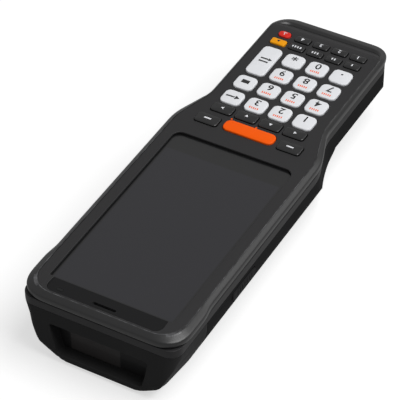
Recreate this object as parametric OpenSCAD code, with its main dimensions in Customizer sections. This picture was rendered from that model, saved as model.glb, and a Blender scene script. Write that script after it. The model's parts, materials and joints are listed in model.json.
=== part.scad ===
// Portable barcode data terminal.
// A touch display fills the deep head, a keypad fills the slim handle, and a barcode
// reader looks out of the end of the head. The terminal rests on its flat back.
// Millimetres. +X is the user's right, +Y runs towards the reader, +Z out of the display.
// The origin is the bottom centre of the whole terminal.

/* [Display] */
// Width of the opening in front of the display
opening_w = 58.4; // [54:0.2:62]
// Length of that opening, up to the receiver strip
opening_l = 105.2; // [98:0.2:112]
// Corner radius of the opening
opening_r = 4; // [2:0.5:6]
// Thickness of the lip over the edge of the touch glass
lip_t = 1.0; // [0.8:0.1:1.4]
// How far the touch glass reaches under the lip
lip_overlap = 2.0; // [1.5:0.1:2.2]
// Thickness of the seal between the lip and the glass
gasket_t = 0.3; // [0.2:0.05:0.5]
// Thickness of the touch glass
glass_t = 1.1; // [0.8:0.1:1.4]
// Thickness of the display panel behind the glass
panel_t = 2.6; // [2:0.1:3]
// How much narrower the display panel is than the glass, each side
panel_inset = 0.6; // [0.3:0.1:1.2]
// Length of the receiver strip beside the scanner end
strip_l = 8; // [7:0.5:10]
// Width of the receiver strip
strip_w = 54; // [48:0.5:56]
// Thickness of the receiver strip
strip_t = 0.5; // [0.4:0.1:0.7]
// Radius of the receiver strip's outer corners
strip_corner_r = 3.5; // [1:0.5:5]

/* [Frame and bumper] */
// Width of the flat frame beside the display
frame_side = 5.1; // [4.5:0.1:7]
// Length of the flat frame between the receiver strip and the bumper
frame_end = 0.9; // [0.6:0.1:2]
// Width of the bumper beside the display
bumper_side = 2.6; // [2:0.1:4]
// Width of the bumper beside the keypad
bumper_handle = 1.6; // [1.3:0.1:2.5]
// Width of the bumper at the scanner end
bumper_scan_end = 3.1; // [2.8:0.1:4]
// Width of the bumper at the keypad end
bumper_key_end = 5.9; // [5.2:0.1:7]
// Extra width of the bumper's pads at the scanner end corners
pad_extra = 1.0; // [0.5:0.1:2]
// Length of those corner pads
pad_l = 25; // [18:1:34]
// How much the bumper swells where it turns round those corners
corner_swell = 1.4; // [0.5:0.1:1.4]
// How far the bumper overhangs the housing at the keypad end
overhang_key_end = 1.9; // [1:0.1:3]
// How far the bumper overhangs the housing at the scanner end
overhang_scan_end = 0.3; // [0.2:0.1:1.2]
// Height of the bumper
bumper_h = 4.6; // [4:0.1:5.2]
// Drop of the frame and bumper at the keypad end
end_drop = 2.4; // [1:0.1:3]
// Length over which the frame drops at the keypad end
end_slope_l = 5; // [3:0.5:7]

/* [Body] */
// Depth of the head, from its resting face to the frame
head_depth = 36.6; // [35:0.2:42]
// Depth of the handle below the frame
handle_depth = 19.7; // [17:0.1:22]
// Height of the front housing's side
front_depth = 8.6; // [7.6:0.1:9.4]
// Wall of the front housing's skirt, the rear housing and the head cap
wall = 1.7; // [1.4:0.1:2]
// How far the skirt stands out under the handle's bumper
skirt_out = 1.2; // [0.9:0.1:1.5]
// How far the skirt stands out under the head's bumper
skirt_out_head = 2.6; // [1.8:0.1:2.8]
// Half the flat width of the head's resting face
rest_half_w = 27.2; // [26:0.1:28]
// Height at which the head's sides start to curve in
side_curve_z = 20.7; // [19:0.1:22]
// Corner radius of the head's frame in plan
head_corner_r = 10.5; // [8:0.5:12]
// Corner radius of the head's skirt in plan
skirt_corner_r = 6; // [5:0.5:10]
// Corner radius of the handle in plan
handle_corner_r = 8; // [6:0.5:10]
// Radius of the rounding between the head's resting face and its sides
rest_corner_r = 5; // [4:0.5:12]
// Radius of the curve where the head's sides turn in
side_curve_r = 24; // [16:1:26]
// Radius of the edge between the head's end and its resting face
head_end_r = 3.3; // [3:0.1:6]
// Radius of the edge along the handle's back
handle_edge_r = 3.0; // [2.5:0.5:6.5]
// Radius of the edge at the handle's end
handle_end_r = 6; // [3:0.5:7]
// Radius of the curves at both ends of the neck
neck_r = 28; // [20:1:32]
// Radius of the curve where the ramp meets the resting face
ramp_r = 10; // [6:1:14]
// Length of the neck between the handle's width and the head's
neck_l = 20.8; // [16:0.2:26]
// Distance from the neck's wide end to the display opening
neck_to_opening = 9.7; // [7:0.1:12]
// Length of the ramp between the handle's back and the head's back
ramp_l = 22; // [18:0.5:28]
// Distance from the ramp's foot to the display opening
ramp_to_opening = 15.7; // [15:0.1:20]

/* [Keypad] */
// Width of the frame between the white keys and the bumper
key_margin = 5.1; // [5:0.1:7]
// Spacing of the white keys across the keypad
column_pitch = 12; // [11.6:0.1:12.4]
// Spacing of the white keys along the keypad
row_pitch = 12.1; // [11.8:0.1:12.8]
// Width of a white key
key_w = 9.7; // [9:0.1:10]
// Length of a white key
key_l = 9.5; // [9:0.1:9.8]
// Corner radius of a white key
key_r = 2.6; // [1.5:0.1:3.4]
// Height of the keys above the frame
key_proud = 0.9; // [0.5:0.1:1.5]
// How far a key travels
key_travel = 0.6; // [0.3:0.05:0.8]
// Width of the scan key
scan_key_w = 25; // [20:0.5:25.5]
// Length of the scan key
scan_key_l = 7.2; // [6:0.1:7.4]
// Width of a soft key
soft_key_w = 11.2; // [9:0.1:11.4]
// Length of a soft key
soft_key_l = 6.4; // [5:0.1:6.6]
// Width of an arrow key
arrow_key_w = 10.4; // [8:0.1:10.6]
// Length of an arrow key
arrow_key_l = 5.8; // [4:0.1:6]
// Spacing of the small keys across the keypad
small_pitch = 9.45; // [9.2:0.05:9.7]
// Width of a small key
small_key_w = 7.6; // [6:0.1:7.8]
// Length of a small key
small_key_l = 4.1; // [3:0.1:4.3]
// Width of the power key
power_key_w = 6; // [4:0.1:7.6]
// Distance from the display opening to the scan key's centre
scan_key_off = 13.6; // [12.8:0.1:16]
// Distance from the scan key row to the soft keys' centre
soft_row_off = 0.8; // [0:0.1:1]
// Distance from the scan key row to the arrow keys
arrow_row_off = 8.7; // [8.6:0.05:9.4]
// Distance from the arrow keys to the first row of white keys
first_row_off = 9.1; // [8.9:0.05:10]
// Distance from the last row of white keys to the first row of small keys
small_row_off = 9.9; // [8.6:0.1:10.4]
// Distance between the two rows of small keys
small_row_pitch = 6.4; // [5.6:0.1:6.8]
// Distance from the last row of small keys to the frame's slope
end_margin = 5.7; // [3:0.1:12]
// Thickness of the frame around the keys
plate_t = 1.6; // [1.3:0.1:1.8]
// How far a key's flange reaches under the frame
flange_lip = 0.4; // [0.3:0.05:0.45]
// Thickness of a key's flange
flange_t = 0.8; // [0.6:0.1:1]
// Thickness of the rubber mat under the keys
mat_t = 0.6; // [0.4:0.1:1]
// Thickness of the keypad's circuit board
key_board_t = 1.2; // [0.8:0.1:1.6]
// Height of the dome under each key
dome_h = 0.15; // [0.1:0.05:0.3]
// Space left between a pressed key and its dome
press_gap = 0.05; // [0.03:0.01:0.1]
// Gap between the scan key and a soft key beside it
soft_gap = 2.4; // [1.6:0.1:3]

/* [Barcode reader] */
// Width of the reader's recess at its top
mouth_w = 47; // [40:0.5:48]
// Width of the reader's recess at its bottom
mouth_low_w = 40; // [36:0.5:42]
// Height of the reader's recess
mouth_h = 18; // [15:0.5:20]
// Height of the recess's lower edge above the resting face
mouth_z = 3.0; // [2.4:0.1:4]
// Depth of the reader's recess
mouth_d = 5.5; // [3:0.1:7]
// Thickness of the reader's window
window_t = 1.2; // [0.8:0.1:2]
// Length of the head cap that holds the reader
cap_l = 26; // [24:0.5:30]

/* [Battery] */
// Width of the battery pack
pack_w = 52.4; // [46:0.2:53]
// Length of the battery pack
pack_l = 70; // [62:0.5:72]
// Thickness of the battery pack
pack_t = 14; // [10:0.2:14.5]
// Thickness of the battery bay's walls
bay_wall = 1.5; // [1:0.1:1.8]
// Width of the latch's finger pad
latch_w = 14; // [10:0.5:16]
// Length of the latch's finger pad
latch_l = 7; // [5:0.5:8]
// How far the latch slides
latch_travel = 3; // [2:0.1:3.4]

/* [Side scan buttons] */
// Length of a side scan button
side_button_l = 20; // [14:0.5:26]
// Height of a side scan button
side_button_h = 4.0; // [3:0.1:4.4]
// Distance from the display opening's far end to a side button's centre
side_button_y = 60; // [50:1:70]
// Depth of a side button's centre below the front housing's edge
side_button_drop = 4.2; // [3.8:0.1:5]
// How far a side button stands out
side_button_out = 0.4; // [0.3:0.1:1.6]
// How far a side button travels
side_travel = 0.5; // [0.4:0.05:1]

/* [Fasteners] */
// Radius of a housing screw's thread
screw_r = 1.0; // [0.8:0.05:1.2]
// Radius of a housing screw's head
screw_head_r = 1.9; // [1.6:0.05:2]
// Height of a housing screw's head
screw_head_h = 1.4; // [1:0.1:1.6]
// Length of a housing screw under its head
screw_l = 12; // [11.5:0.5:13]
// Radius of the threaded hole in a strap insert
insert_hole_r = 1.25; // [1:0.05:1.5]
// Outer radius of a strap insert
insert_r = 2.1; // [1.9:0.05:2.4]
// Length of a strap insert
insert_l = 4.6; // [4:0.1:5]

/* [Fits] */
// Gap between a key and its hole
key_gap = 0.2; // [0.15:0.01:0.25]
// Gap round a piece that is set into another
fit_gap = 0.1; // [0.05:0.01:0.15]
// Gap round the battery pack in its bay
pack_gap = 0.3; // [0.2:0.05:0.5]
// Gap round a screw's thread
thread_gap = 0.05; // [0.03:0.01:0.1]

/* [Hidden] */
$fn = 48;
arc_steps = 8;
eps = 0.01;
// How far a cut runs past the face that it opens
past = 1;

// Along the terminal, from the scanner end to the keypad end
last_row = 3;
body_l = bumper_scan_end + frame_end + strip_l + opening_l + scan_key_off + arrow_row_off
    + first_row_off + last_row * row_pitch + small_row_off + small_row_pitch + end_margin
    + end_slope_l + bumper_key_end;
y_scan_end = body_l / 2;
y_frame_scan = y_scan_end - bumper_scan_end;
y_strip_1 = y_frame_scan - frame_end;
y_strip_0 = y_strip_1 - strip_l;
y_opening_0 = y_strip_0 - opening_l;
y_scan_row = y_opening_0 - scan_key_off;
y_soft_row = y_scan_row + soft_row_off;
y_arrow_row = y_scan_row - arrow_row_off;
y_row_1 = y_arrow_row - first_row_off;
y_row_4 = y_row_1 - last_row * row_pitch;
y_small_1 = y_row_4 - small_row_off;
y_small_2 = y_small_1 - small_row_pitch;
y_slope = y_small_2 - end_margin;
y_frame_key = y_slope - end_slope_l;
y_neck_1 = y_opening_0 - neck_to_opening;
y_neck_0 = y_neck_1 - neck_l;
y_ramp_1 = y_opening_0 - ramp_to_opening;
y_ramp_0 = y_ramp_1 - ramp_l;

// Across the terminal
head_half = opening_w / 2 + frame_side;
x_side = head_half + skirt_out_head;
x_front_inner = head_half + skirt_out - wall;
handle_half = 1.5 * column_pitch + key_w / 2 + key_margin;
skirt_key_end = bumper_key_end - overhang_key_end;
skirt_scan_end = bumper_scan_end - overhang_scan_end;
y_key_face = y_frame_key - skirt_key_end;
y_face = y_frame_scan + skirt_scan_end;

// The key room's wall beside the keys and at the keypad end
key_room_wall = 1.4;
key_room_end = 3;

// A corner inside the solid gets only this small radius, and a leaning face moves in by this much
hidden_r = 0.5;
lean_rest = 0.6;
lean_ramp = 0.7;

// Heights
z_frame = head_depth;
z_lip = z_frame - lip_t;
z_glass_top = z_lip - gasket_t;
z_panel_top = z_glass_top - glass_t;
z_panel = z_panel_top - panel_t;
z_ledge = z_panel - fit_gap;
z_bumper = z_frame - bumper_h;
z_split = z_frame - front_depth;
side_button_z = z_split - side_button_drop;
z_form = z_split + 6;
z_handle = z_frame - handle_depth;
z_plate = z_frame - plate_t;
z_flange = z_plate - fit_gap - flange_t;
z_mat_top = z_flange - key_travel - dome_h - press_gap;
z_board_top = z_mat_top - mat_t;
z_key_board = z_board_top - key_board_t;

// Inside the head
glass_half = opening_w / 2 + lip_overlap;
glass_gap = 3 * fit_gap;
y_glass_0 = y_opening_0 - lip_overlap;
y_glass_1 = y_strip_0 + lip_overlap;
pocket_half = glass_half + glass_gap;
pocket_y0 = y_glass_0 - glass_gap;
pocket_y1 = y_glass_1 + glass_gap;
pocket_wall = 2.2;
chassis_t = 1.4;
z_chassis = z_ledge - chassis_t;
board_t = 1.6;
standoff_h = 6.2;
standoff_r = 2.2;
standoff_in = 4;
standoff_off = 8;
y_standoff = y_opening_0 + standoff_off;
standoff_l = 70;
z_main_top = z_chassis - standoff_h;
z_main = z_main_top - board_t;
button_flange_t = 0.9;
button_board_t = 0.8;
x_button = x_side - wall - fit_gap - button_flange_t;
x_button_board = x_button - side_travel - fit_gap - button_board_t;
main_half = x_button_board - 11 * fit_gap;
main_l = 86;
main_past = 2;
y_main_0 = y_opening_0 - main_past;
can_h = 2.4;
connector_block_h = 1.8;
y_cap = y_scan_end - cap_l;

// Blocks on the main board: width, length, centre across, centre along from the board's near end
cans = [[24, 20, -12, 24], [20, 24, 14, 26]];
display_plug = [30, 22, 0, 52];

// Battery and latch
pack_to_cap = 16;
y_pack_1 = y_cap - pack_to_cap;
y_pack_0 = y_pack_1 - pack_l;
latch_plate_t = 1.2;
latch_side = 2;
latch_past = 1.4;
latch_sunk = 0.4;
latch_gap = 2 * fit_gap;
y_latch_1 = y_pack_0 - pack_gap - bay_wall - latch_past - 3 * fit_gap;
y_latch_0 = y_latch_1 - latch_l;
latch_bite = 1.5;
guide_wall = 1.5;
contact_w = 13;
contact_l = 5;
contact_gap = 0.5;
contact_off = 9;
y_contacts = y_pack_1 - contact_off;

// Reader
y_window_1 = y_face - mouth_d;
y_window_0 = y_window_1 - window_t;
window_wall = 1.4;
mouth_mid_z = mouth_z + mouth_h / 2;

// Screws on the right side, mirrored on the left: distance in from the edge, and from what they clear
boss_r = 2.4;
boss_gap = 0.4;
head_gap = 0.3;
end_screw = [6.5, 1.4];
grip_screw = [1.9, 4];
neck_screw = [12.3, 1.3];
cap_screw = [7.8, 0.6];
screw_places = [
    [handle_half - end_screw[0], y_frame_key + end_screw[1]],
    [handle_half - grip_screw[0], (y_row_1 + y_row_4) / 2 - grip_screw[1]],
    [head_half - neck_screw[0], pocket_y0 - boss_r - neck_screw[1]],
    [head_half - cap_screw[0], pocket_y1 + boss_r + cap_screw[1]]
];
screw_sunk = 0.5;
z_screw_seat = z_handle + screw_head_h + screw_sunk;
seal_w = 0.6;
seal_h = 0.6;
seal_in = 0.5;

// The keys: name, centre, width, length, corner radius, colour
col = column_pitch;
sml = small_pitch;
soft_x = scan_key_w / 2 + soft_key_w / 2 + soft_gap;
black = "#202022";
white = "#eceef0";
KEYS = [
    ["scan_key", 0, y_scan_row, scan_key_w, scan_key_l, 2.8, "#f26a16"],
    ["soft_key_left", -soft_x, y_soft_row, soft_key_w, soft_key_l, 1.2, black],
    ["soft_key_right", soft_x, y_soft_row, soft_key_w, soft_key_l, 1.2, black],
    ["arrow_key_left", -1.5 * col, y_arrow_row, arrow_key_w, arrow_key_l, 1.2, black],
    ["arrow_key_up", -0.5 * col, y_arrow_row, arrow_key_w, arrow_key_l, 1.2, black],
    ["arrow_key_down", 0.5 * col, y_arrow_row, arrow_key_w, arrow_key_l, 1.2, black],
    ["arrow_key_right", 1.5 * col, y_arrow_row, arrow_key_w, arrow_key_l, 1.2, black],
    ["digit_key_1", -1.5 * col, y_row_1, key_w, key_l, key_r, white],
    ["digit_key_2", -0.5 * col, y_row_1, key_w, key_l, key_r, white],
    ["digit_key_3", 0.5 * col, y_row_1, key_w, key_l, key_r, white],
    ["clear_key", 1.5 * col, y_row_1, key_w, key_l, key_r, white],
    ["digit_key_4", -1.5 * col, y_row_1 - row_pitch, key_w, key_l, key_r, white],
    ["digit_key_5", -0.5 * col, y_row_1 - row_pitch, key_w, key_l, key_r, white],
    ["digit_key_6", 0.5 * col, y_row_1 - row_pitch, key_w, key_l, key_r, white],
    ["mode_key", 1.5 * col, y_row_1 - row_pitch, key_w, key_l, key_r, white],
    ["digit_key_7", -1.5 * col, y_row_4 + row_pitch, key_w, key_l, key_r, white],
    ["digit_key_8", -0.5 * col, y_row_4 + row_pitch, key_w, key_l, key_r, white],
    ["digit_key_9", 0.5 * col, y_row_4 + row_pitch, key_w, key_l, key_r, white],
    ["enter_key", 1.5 * col, y_row_4 + row_pitch / 2, key_w, key_l + row_pitch, key_r, white],
    ["point_key", -1.5 * col, y_row_4, key_w, key_l, key_r, white],
    ["digit_key_0", -0.5 * col, y_row_4, key_w, key_l, key_r, white],
    ["star_key", 0.5 * col, y_row_4, key_w, key_l, key_r, white],
    ["edit_key_1", -2 * sml, y_small_1, small_key_w, small_key_l, 0.9, black],
    ["edit_key_2", -sml, y_small_1, small_key_w, small_key_l, 0.9, black],
    ["edit_key_3", 0, y_small_1, small_key_w, small_key_l, 0.9, black],
    ["edit_key_4", sml, y_small_1, small_key_w, small_key_l, 0.9, black],
    ["shift_key", 2 * sml, y_small_1, small_key_w, small_key_l, 0.9, "#efa01c"],
    ["function_key_1", -2 * sml, y_small_2, small_key_w, small_key_l, 0.9, black],
    ["function_key_2", -sml, y_small_2, small_key_w, small_key_l, 0.9, black],
    ["function_key_3", 0, y_small_2, small_key_w, small_key_l, 0.9, black],
    ["function_key_4", sml, y_small_2, small_key_w, small_key_l, 0.9, black],
    ["power_key", 2 * sml, y_small_2, power_key_w, small_key_l, 1.8, "#d2443c"]
];

HOUSING_NODES = [
    "front_housing", "bumper_band", "rear_housing", "head_cap", "touch_glass",
    "display_module", "display_gasket", "receiver_strip", "status_light", "keypad_mat",
    "keypad_board", "chassis_frame", "main_board", "housing_seal", "scan_window",
    "scan_engine", "engine_bracket", "battery_pack", "battery_latch", "left_scan_button",
    "right_scan_button", "button_boards", "loudspeaker", "vibration_motor", "io_connector",
    "battery_contacts", "housing_screws", "strap_inserts"
];

// ---- Outlines ----

function unit(v) = v / norm(v);
function flat(p) = [p[0], p[1]];
function turn(v) = atan2(v[1], v[0]);
function short_way(a) = a > 180 ? a - 360 : a < -180 ? a + 360 : a;

// The arc that rounds corner b, whose third value is its radius, between points a and c
function corner(a, b, c) =
    let (
        p = flat(b),
        u = unit(flat(a) - p),
        v = unit(flat(c) - p),
        half = acos(u * v) / 2,
        centre = p + unit(u + v) * b[2] / sin(half),
        from = turn(p + u * b[2] / tan(half) - centre),
        sweep = short_way(turn(p + v * b[2] / tan(half) - centre) - from)
    )
    [for (i = [0:arc_steps])
        centre + b[2] * [cos(from + sweep * i / arc_steps), sin(from + sweep * i / arc_steps)]];

// A closed outline with every corner rounded
function rounded(c) =
    [for (i = [0:len(c) - 1]) each corner(c[(i + len(c) - 1) % len(c)], c[i], c[(i + 1) % len(c)])];

function mirrored(c) = concat(c, [for (i = [len(c) - 1:-1:0]) [-c[i][0], c[i][1], c[i][2]]]);

// The terminal seen from above, with its handle, its head and its two ends grown by so much
function plan(handle, head, head_r, key_end = 0, scan_end = 0) = rounded(mirrored([
    [handle_half + handle, y_frame_key - key_end, handle_corner_r + handle],
    [handle_half + handle, y_neck_0, neck_r],
    [head_half + head, y_neck_1, neck_r],
    [head_half + head, y_frame_scan + scan_end, head_r]
]));

function frame_plan(inset = 0, end_inset = 0) =
    plan(-inset, -inset, head_corner_r - inset, -end_inset);

function skirt_plan(inset = 0) =
    plan(skirt_out - inset, skirt_out_head - inset, skirt_corner_r - inset,
        skirt_key_end - inset, skirt_scan_end - inset);

// The hollow of the front housing is as narrow beside the head's frame as beside the handle's
function front_hollow_plan() =
    plan(skirt_out - wall, skirt_out - wall, skirt_corner_r, skirt_key_end - wall, skirt_scan_end - wall);

// The head seen from its end, and the head and handle seen from the side
function head_section(inset = 0) = rounded(mirrored([
    [x_side - inset, z_frame, hidden_r],
    [x_side - inset, side_curve_z, side_curve_r],
    [rest_half_w - inset * lean_rest, inset, rest_corner_r - inset]
]));

function head_profile(inset = 0) = rounded([
    [y_ramp_0 - (z_form - z_handle) * ramp_l / z_handle + inset, z_form, hidden_r],
    [y_face - inset, z_form, hidden_r],
    [y_face - inset, inset, head_end_r - inset],
    [y_ramp_1 + inset * lean_ramp, inset, ramp_r]
]);

function handle_section(inset = 0) = rounded(mirrored([
    [handle_half + skirt_out - inset, z_frame, hidden_r],
    [handle_half + skirt_out - inset, z_handle + inset, handle_edge_r - inset]
]));

function handle_profile(inset = 0) = rounded([
    [y_key_face + inset, z_form, hidden_r],
    [y_ramp_1, z_form, hidden_r],
    [y_ramp_1, z_handle + inset, hidden_r],
    [y_key_face + inset, z_handle + inset, handle_end_r - inset]
]);

// ---- Shared shapes ----

module plan_slab(points, z0, z1) {
    translate([0, 0, z0]) linear_extrude(z1 - z0) polygon(points);
}

module across(points, half_w) {
    rotate([90, 0, 90]) translate([0, 0, -half_w]) linear_extrude(2 * half_w) polygon(points);
}

module along(points, y0, y1) {
    translate([0, y1, 0]) rotate([90, 0, 0]) linear_extrude(y1 - y0) polygon(points);
}

module block(low, high) {
    translate(low) cube(high - low);
}

module centred(w, l, z0, z1, y = 0, x = 0) {
    translate([x - w / 2, y - l / 2, z0]) cube([w, l, z1 - z0]);
}

module round_rect(w, l, r) {
    square([w - 2 * r, l], center = true);
    square([w, l - 2 * r], center = true);
    for (x = [-1, 1], y = [-1, 1]) translate([x * (w / 2 - r), y * (l / 2 - r)]) circle(r);
}

module rounded_block(w, l, r, z0, z1, x = 0, y = 0) {
    translate([x, y, z0]) linear_extrude(z1 - z0) round_rect(w, l, r);
}

module both_sides() {
    children();
    mirror([1, 0, 0]) children();
}

module at_screws() {
    both_sides() for (p = screw_places) translate([p[0], p[1], 0]) children();
}

// The rear half of the body as a solid: the deep head with its ramp, and the slim handle
module rear_form(inset = 0) {
    z1 = inset > 0 ? z_split + past : z_split;
    intersection() {
        plan_slab(skirt_plan(inset), -past, z1);
        across(head_profile(inset), x_side + past);
        along(head_section(inset), -body_l / 2, y_scan_end);
    }
    intersection() {
        plan_slab(skirt_plan(inset), z_handle - past, z1);
        across(handle_profile(inset), x_side + past);
        along(handle_section(inset), -body_l / 2, y_ramp_1);
    }
}

// ---- Front housing ----

module key_holes() {
    for (k = KEYS)
        rounded_block(k[3] + 2 * key_gap, k[4] + 2 * key_gap, k[5] + key_gap,
            z_plate - past, z_frame + past, k[1], k[2]);
}

module front_shell() {
    plan_slab(skirt_plan(), z_split, z_bumper);
    plan_slab(frame_plan(fit_gap), z_bumper, z_frame);
}

// Everything that is hollow in the front shell
module front_hollow() {
    plan_slab(front_hollow_plan(), z_split - past, z_ledge);
    intersection() {
        plan_slab(frame_plan(key_room_wall, key_room_wall + key_room_end), z_ledge - past, z_plate);
        block([-head_half, -body_l, z_ledge - past], [head_half, pocket_y0 - pocket_wall, z_frame]);
    }
    block([-pocket_half, pocket_y0, z_ledge - past], [pocket_half, pocket_y1, z_lip]);
}

module display_opening() {
    rounded_block(opening_w, opening_l + 2 * opening_r, opening_r, z_lip - past, z_frame + past,
        0, y_opening_0 + opening_l / 2 + opening_r);
}

module end_slope() {
    across([
        [y_slope, z_frame],
        [y_slope, z_frame + past],
        [-body_l, z_frame + past],
        [-body_l, z_frame - end_drop],
        [y_frame_key, z_frame - end_drop]
    ], head_half);
}

// The receiver strip's outline, rounded where it meets the head's corners
strip_inner_r = 0.3;
function strip_outline(gap) = rounded(mirrored([
    [strip_w / 2 + gap, y_strip_0 + fit_gap - gap, strip_inner_r],
    [strip_w / 2 + gap, y_strip_1 - fit_gap + gap, strip_corner_r]
]));

module strip_recess() {
    plan_slab(strip_outline(fit_gap), z_lip, z_frame + past);
}

// Ribs that hold the keypad's circuit board down at both edges
rib_l = 4;
rib_to_key = 1.3;
rib_in = key_margin - rib_to_key;
rib_out = 0.6;
module board_ribs() {
    for (y = [y_small_1, y_row_1 - row_pitch / 2])
        both_sides() block([handle_half - rib_in, y - rib_l / 2, z_board_top],
            [handle_half - rib_out, y + rib_l / 2, z_plate]);
}

module front_housing() {
    color("#2b2b2d") difference() {
        union() {
            difference() {
                front_shell();
                front_hollow();
            }
            board_ribs();
            intersection() {
                at_screws() translate([0, 0, z_split]) cylinder(r = boss_r, h = z_plate - z_split);
                front_shell();
            }
        }
        at_screws() translate([0, 0, z_split - past])
            cylinder(r = screw_r + thread_gap, h = z_screw_seat + screw_l - z_split + 2 * past);
        key_holes();
        intersection() {
            display_opening();
            block([-head_half, -body_l, 0], [head_half, y_strip_0, z_frame + past]);
        }
        strip_recess();
        end_slope();
        sound_slot(z_ledge - past, z_lip + past);
        light_hole(fit_gap, z_ledge - past, z_lip + past);
    }
}

// The sound slot and the status light lie in one row on the receiver strip
strip_row_off = 2.6;
y_strip_row = y_strip_1 - strip_row_off;
slot_w = 11;
slot_l = 1.2;
light_w = 3;
light_l = 1.4;
light_off = 6;
x_light = strip_w / 2 - light_off;

module sound_slot(z0, z1) {
    rounded_block(slot_w, slot_l, slot_l / 2 - eps, z0, z1, 0, y_strip_row);
}

module light_hole(gap, z0, z1) {
    rounded_block(light_w + 2 * gap, light_l + 2 * gap, light_l / 2 - fit_gap + gap, z0, z1,
        x_light, y_strip_row);
}

// ---- Bumper ----

function smooth(a, b, x) = let (t = min(1, max(0, (x - a) / (b - a)))) t * t * (3 - 2 * t);

pad_blend = 3;

// Width of the bumper at a point of the frame's edge, from the way the edge faces there
function bumper_width(y, n) =
    let (
        side = bumper_handle
            + (bumper_side - bumper_handle) * smooth(y_neck_0, y_neck_1, y)
            + pad_extra * smooth(y_scan_end - pad_l - pad_blend, y_scan_end - pad_l, y),
        end = y < 0 ? bumper_key_end : bumper_scan_end,
        swell = y > y_opening_0 ? corner_swell : 0
    )
    side * n[0] * n[0] + end * n[1] * n[1] + swell * pow(2 * n[0] * n[1], 2);

// How far the bumper drops beside the frame's slope: less over its crest than at its inner edge
crest_share = 0.3;
crest_rise = 0.45;
function bumper_drop(y, share) =
    -end_drop * min(1, max(0, (y_slope - y) / end_slope_l))
    * (1 - crest_rise * smooth(0, crest_share, share));

// Splits the long stretches of an outline
function dense(p, step) = [for (i = [0:len(p) - 1])
    let (a = p[i], b = p[(i + 1) % len(p)], n = ceil(norm(b - a) / step))
    each [for (k = [0:n - 1]) a + (b - a) * k / n]];

// Outward direction at each point of an outline that runs anticlockwise
function facing(p, i) =
    let (d = unit(p[(i + 1) % len(p)] - p[(i + len(p) - 1) % len(p)])) [d[1], -d[0]];

bumper_step = 5;
bumper_edge = dense(frame_plan(), bumper_step);

// The bumper's cross-section, as shares of its width and its height
bumper_profile = [
    [0, 0], [0.55, 0], [0.95, 0.11], [1, 0.3], [1, 0.59], [0.93, 0.72], [0.25, 0.97], [0.12, 1], [0, 1]
];

module bumper_band() {
    n = len(bumper_edge);
    m = len(bumper_profile);
    points = [for (i = [0:n - 1], j = [0:m - 1])
        let (
            p = bumper_edge[i],
            f = facing(bumper_edge, i),
            share = bumper_profile[j][0],
            q = p + f * bumper_width(p[1], f) * share,
            rise = bumper_profile[j][1]
        )
        [q[0], q[1], z_bumper + bumper_h * rise + (rise > 0.5 ? bumper_drop(p[1], share) : 0)]];
    faces = [for (i = [0:n - 1], j = [0:m - 1])
        [i * m + j, i * m + (j + 1) % m, ((i + 1) % n) * m + (j + 1) % m, ((i + 1) % n) * m + j]];
    color("#1c1c1e") polyhedron(points, faces, convexity = 8);
}

// ---- Rear housing ----

module screw_bore() {
    translate([0, 0, -past]) cylinder(r = screw_head_r + head_gap, h = z_screw_seat + past);
    translate([0, 0, -past]) cylinder(r = screw_r + thread_gap, h = z_frame);
}

module bay(gap) {
    block([-pack_w / 2 - gap, y_pack_0 - gap, -past], [pack_w / 2 + gap, y_pack_1 + gap, pack_t + gap]);
}

module latch_guide() {
    half_w = latch_w / 2 + latch_side + fit_gap + guide_wall;
    block([-half_w, y_latch_0 - latch_travel - latch_past - 3 * fit_gap - guide_wall, wall],
        [half_w, y_pack_0 - pack_gap, wall + latch_plate_t + latch_gap + guide_wall]);
}

// The room for the latch's plate, its finger pad and its tongue
module latch_room() {
    z1 = wall + latch_plate_t + latch_gap;
    half_w = latch_w / 2 + latch_side + fit_gap;
    block([-half_w, y_latch_0 - latch_travel - latch_past - 3 * fit_gap, wall - eps],
        [half_w, y_latch_1 + latch_past + fit_gap, z1]);
    block([-latch_w / 2 - latch_gap, y_latch_0 - latch_travel - latch_gap, -past],
        [latch_w / 2 + latch_gap, y_latch_1 + latch_gap, z1]);
    block([-latch_w / 4 - latch_gap, y_latch_1, wall - eps], [latch_w / 4 + latch_gap, y_pack_0 + eps, z1]);
}

// A side button's flange reaches this far past its cap, in a room that is a little larger
button_lip_l = 0.9;
button_lip_h = 0.7;
button_lip_gap = 0.3;
button_room = 6;

// The hole for a side button, and the flat room for its flange behind the curved wall
module side_button_slot() {
    translate([0, y_opening_0 + side_button_y, side_button_z]) rotate([90, 0, 90]) {
        linear_extrude(x_side + past)
            round_rect(side_button_l + 2 * key_gap, side_button_h + 2 * key_gap, side_button_h / 2);
        translate([0, 0, x_side - wall - button_room]) linear_extrude(button_room)
            round_rect(side_button_l + 2 * (button_lip_l + button_lip_gap),
                side_button_h + 2 * (button_lip_h + button_lip_gap), side_button_h / 2);
    }
}

// The board behind a side button, held between two ribs
button_board_l = side_button_l + 4.6;
button_board_h = 5.6;
button_rib_t = 1.8;

module button_board_ribs() {
    for (s = [-1, 1])
        translate([0, y_opening_0 + side_button_y + s * (button_board_l + button_rib_t) / 2, 0])
            block([x_button_board - fit_gap, -button_rib_t / 2, side_button_z - button_board_h / 2],
                [x_side - wall + fit_gap, button_rib_t / 2, side_button_z + button_board_h / 2]);
}

strap_wall = 1.6;
insert_sunk = 0.2;
strap_to_cap = 8;
strap_to_row = 1;
y_strap_head = y_cap - strap_to_cap;
y_strap_handle = y_small_1 - strap_to_row;

module strap_boss(y, z) {
    translate([0, y, z]) cylinder(r = insert_r + strap_wall, h = insert_l + insert_sunk + strap_wall);
}

module strap_hole(y, z) {
    translate([0, y, z - past]) cylinder(r = insert_r + thread_gap / 2, h = insert_l + insert_sunk + past);
}

module seal_ring(gap = 0) {
    difference() {
        plan_slab(skirt_plan(seal_in - gap), z_split - seal_h - gap, z_split + (gap > 0 ? past : 0));
        plan_slab(skirt_plan(seal_in + seal_w + gap), z_split - seal_h - past, z_split + 2 * past);
    }
}

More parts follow.
